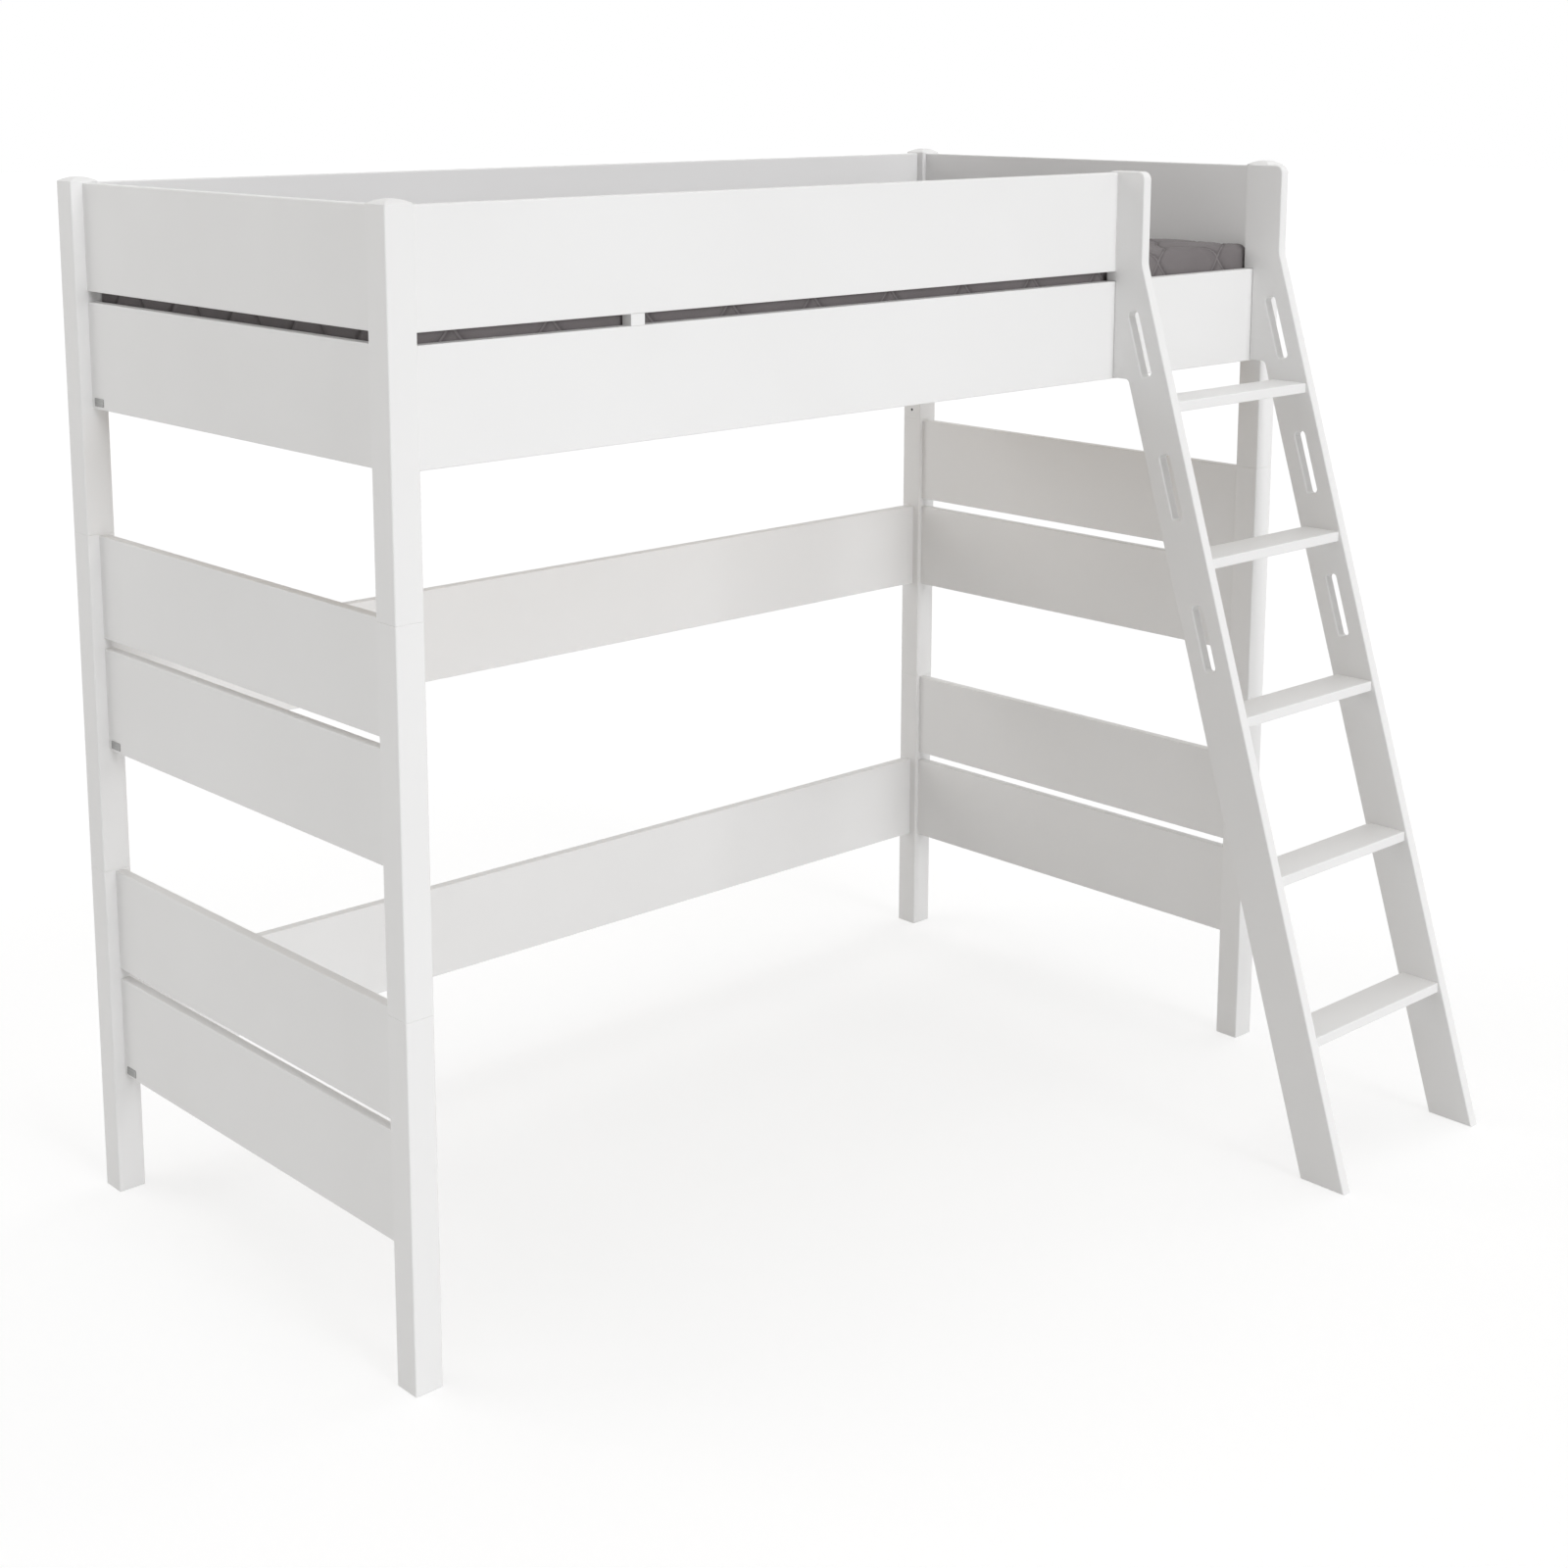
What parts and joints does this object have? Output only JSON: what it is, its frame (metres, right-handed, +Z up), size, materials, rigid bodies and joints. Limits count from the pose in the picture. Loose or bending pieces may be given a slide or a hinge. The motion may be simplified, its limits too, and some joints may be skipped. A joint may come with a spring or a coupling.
{
  "type": "loft bed",
  "caption": "White high bed on square stacked posts with boarded ends, guard rails, a slanted ladder at one end of the front and a mattress on slats; open underneath.",
  "frame": {"origin": "middle of the whole footprint, ladder included, on the floor", "axes": "+X along the bed to the ladder end, -Y to the front where the ladder stands, +Z up"},
  "size_m": [2.09, 1.533, 1.7983],
  "materials": {
    "white_lacquer": "satin",
    "slat_wood": "matte",
    "dowel_wood": "matte",
    "steel": "satin",
    "dark_steel": "satin",
    "mattress_cover": "matte",
    "webbing": "matte",
    "plate_grey": "satin"
  },
  "bodies": {
    "frame": {"back_guard": "white_lacquer", "back_lower_board": "white_lacquer", "back_middle_board": "white_lacquer", "back_rail": "white_lacquer", "barrel_nuts": "steel", "corner_plates": "plate_grey", "end_board_dowels": "dowel_wood", "end_board_left_lower_bottom": "white_lacquer", "end_board_left_lower_top": "white_lacquer", "end_board_left_middle_bottom": "white_lacquer", "end_board_left_middle_top": "white_lacquer", "end_board_left_upper_bottom": "white_lacquer", "end_board_left_upper_top": "white_lacquer", "end_board_right_lower_bottom": "white_lacquer", "end_board_right_lower_top": "white_lacquer", "end_board_right_middle_bottom": "white_lacquer", "end_board_right_middle_top": "white_lacquer", "end_board_right_upper_bottom": "white_lacquer", "end_board_right_upper_top": "white_lacquer", "front_guard": "white_lacquer", "front_rail": "white_lacquer", "guard_dowels": "dowel_wood", "guard_spacer_back_left": "white_lacquer", "guard_spacer_back_right": "white_lacquer", "guard_spacer_front": "white_lacquer", "ladder_bolts": "steel", "ladder_sleeves": "steel", "ladder_stringer_left": "white_lacquer", "ladder_stringer_right": "white_lacquer", "ladder_tread_1": "white_lacquer", "ladder_tread_2": "white_lacquer", "ladder_tread_3": "white_lacquer", "ladder_tread_4": "white_lacquer", "ladder_tread_5": "white_lacquer", "ledge_screws": "steel", "post_back_left_lower": "white_lacquer", "post_back_left_middle": "white_lacquer", "post_back_left_upper": "white_lacquer", "post_back_right_lower": "white_lacquer", "post_back_right_middle": "white_lacquer", "post_back_right_upper": "white_lacquer", "post_front_left_lower": "white_lacquer", "post_front_left_middle": "white_lacquer", "post_front_left_upper": "white_lacquer", "post_front_right_lower": "white_lacquer", "post_front_right_middle": "white_lacquer", "post_front_right_upper": "white_lacquer", "post_lock_screws": "dark_steel", "post_pins": "steel", "side_board_studs": "steel", "slat_ledge_back": "slat_wood", "slat_ledge_front": "slat_wood", "slat_screws": "steel", "slat_straps": "webbing", "slats": "slat_wood", "tread_dowels": "dowel_wood"},
    "mattress": {"mattress": "mattress_cover"}
  },
  "joints": [
    {"name": "mattress_lift", "type": "slide", "parent": "frame", "child": "mattress", "axis": [0, 0, 1], "range_m": [0, 0.4]}
  ]
}
